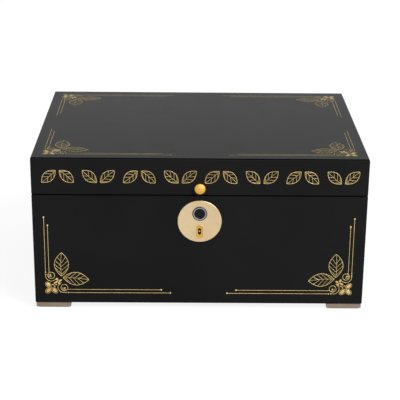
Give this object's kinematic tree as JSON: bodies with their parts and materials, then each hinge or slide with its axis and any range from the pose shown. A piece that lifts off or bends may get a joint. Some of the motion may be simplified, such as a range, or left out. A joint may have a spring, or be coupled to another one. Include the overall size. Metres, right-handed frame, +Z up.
{
  "type": "humidor",
  "caption": "Black lacquered desktop humidor with a hinged lid, cedar lining, round lock plate, gilt leaf borders, square feet, a sliding cedar tray, humidifier and hygrometer.",
  "frame": {"origin": "on the surface the feet rest on, below the centre of the case", "axes": "+X to the right seen from the front, +Y to the back with the hinges, +Z up"},
  "size_m": [0.38, 0.2952, 0.1833],
  "materials": {
    "black_lacquer": "satin black lacquer on board, polished",
    "cedar": "unfinished cedar with fine grain",
    "brass": "polished brass",
    "gold_plate": "gold plated, satin",
    "champagne_plate": "champagne gold plated, fine brushed",
    "chrome": "polished chrome",
    "sensor_glass": "dark glossy sensor window",
    "lock_steel": "zinc plated steel",
    "felt": "black felt",
    "taupe_wood": "grey brown stained wood, fine straight grain",
    "black_plastic": "fine textured black plastic",
    "foam": "open cell green foam",
    "circuit_board": "green solder mask",
    "battery_wrap": "silver grey pouch",
    "dial_card": "printed off-white card",
    "clear_glass": "clear flat glass",
    "needle_enamel": "black enamel"
  },
  "bodies": {
    "base": {"front_wall": "black_lacquer", "back_wall": "black_lacquer", "left_wall": "black_lacquer", "right_wall": "black_lacquer", "bottom_panel": "black_lacquer", "feet": "taupe_wood", "foot_pads": "felt", "cedar_floor": "cedar", "liner_front": "cedar", "liner_back": "cedar", "liner_left": "cedar", "liner_right": "cedar", "tray_ledges": "cedar", "lock_plate": "champagne_plate", "sensor_bezel": "chrome", "sensor_pad": "sensor_glass", "keyhole_insert": "gold_plate", "drill_pin": "lock_steel", "lock_case": "lock_steel", "lock_cover": "black_plastic", "control_board": "circuit_board", "gear_motor": "lock_steel", "battery_pack": "battery_wrap", "lock_screws": "lock_steel", "hinge_body_leaf_left": "brass", "hinge_body_leaf_right": "brass", "hinge_pins": "brass", "hinge_body_screws": "brass"},
    "lid": {"lid_top_panel": "black_lacquer", "lid_front_rail": "black_lacquer", "lid_back_rail": "black_lacquer", "lid_left_rail": "black_lacquer", "lid_right_rail": "black_lacquer", "lid_liner_panel": "cedar", "lid_liner_strips": "cedar", "hinge_lid_leaf_left": "brass", "hinge_lid_leaf_right": "brass", "lid_screws": "brass", "strike_plate": "lock_steel", "lid_knob": "gold_plate", "knob_screw": "lock_steel", "humidifier_case": "black_plastic", "humidifier_foam": "foam", "humidifier_grille": "black_plastic", "hygrometer_case": "brass", "hygrometer_dial": "dial_card", "hygrometer_bezel": "brass", "hygrometer_glass": "clear_glass"},
    "tray": {"tray_front": "cedar", "tray_back": "cedar", "tray_left": "cedar", "tray_right": "cedar", "tray_floor": "cedar"},
    "tray_divider": {"tray_divider": "cedar"},
    "lower_divider": {"lower_divider": "cedar"},
    "key_cam": {"key_cam": "lock_steel"},
    "latch": {"latch_bolt": "lock_steel"},
    "drive_crank": {"drive_crank": "lock_steel"},
    "needle": {"hygrometer_needle": "needle_enamel"}
  },
  "joints": [
    {"name": "lid_hinge", "type": "hinge", "parent": "base", "child": "lid", "pos_m": [0, 0.143, 0.1405], "axis": [-1, 0, 0], "range_deg": [0, 95]},
    {"name": "tray_slide", "type": "slide", "parent": "base", "child": "tray", "axis": [1, 0, 0], "range_m": [0, 0.129]},
    {"name": "tray_divider_slide", "type": "slide", "parent": "tray", "child": "tray_divider", "axis": [1, 0, 0], "range_m": [-0.095, 0.095]},
    {"name": "lower_divider_slide", "type": "slide", "parent": "base", "child": "lower_divider", "axis": [1, 0, 0], "range_m": [-0.165, 0.165]},
    {"name": "key_turn", "type": "hinge", "parent": "base", "child": "key_cam", "pos_m": [0, -0.134, 0.0976], "axis": [0, 1, 0], "range_deg": [0, 90]},
    {"name": "latch_slide", "type": "slide", "parent": "base", "child": "latch", "axis": [1, 0, 0], "range_m": [0, 0.007]},
    {"name": "drive_turn", "type": "hinge", "parent": "base", "child": "drive_crank", "pos_m": [0.01, -0.13, 0.106], "axis": [0, 1, 0], "range_deg": [0, 90]},
    {"name": "needle_turn", "type": "hinge", "parent": "lid", "child": "needle", "pos_m": [0.09, 0, 0.16], "axis": [0, 0, 1], "range_deg": [-189, 81], "stiffness_Nm_per_rad": 0.0005}
  ],
  "couplings": [
    {"joint": "key_turn", "follows": "latch_slide", "rad_per_m": 224.4},
    {"joint": "drive_turn", "follows": "latch_slide", "rad_per_m": 224.4}
  ]
}
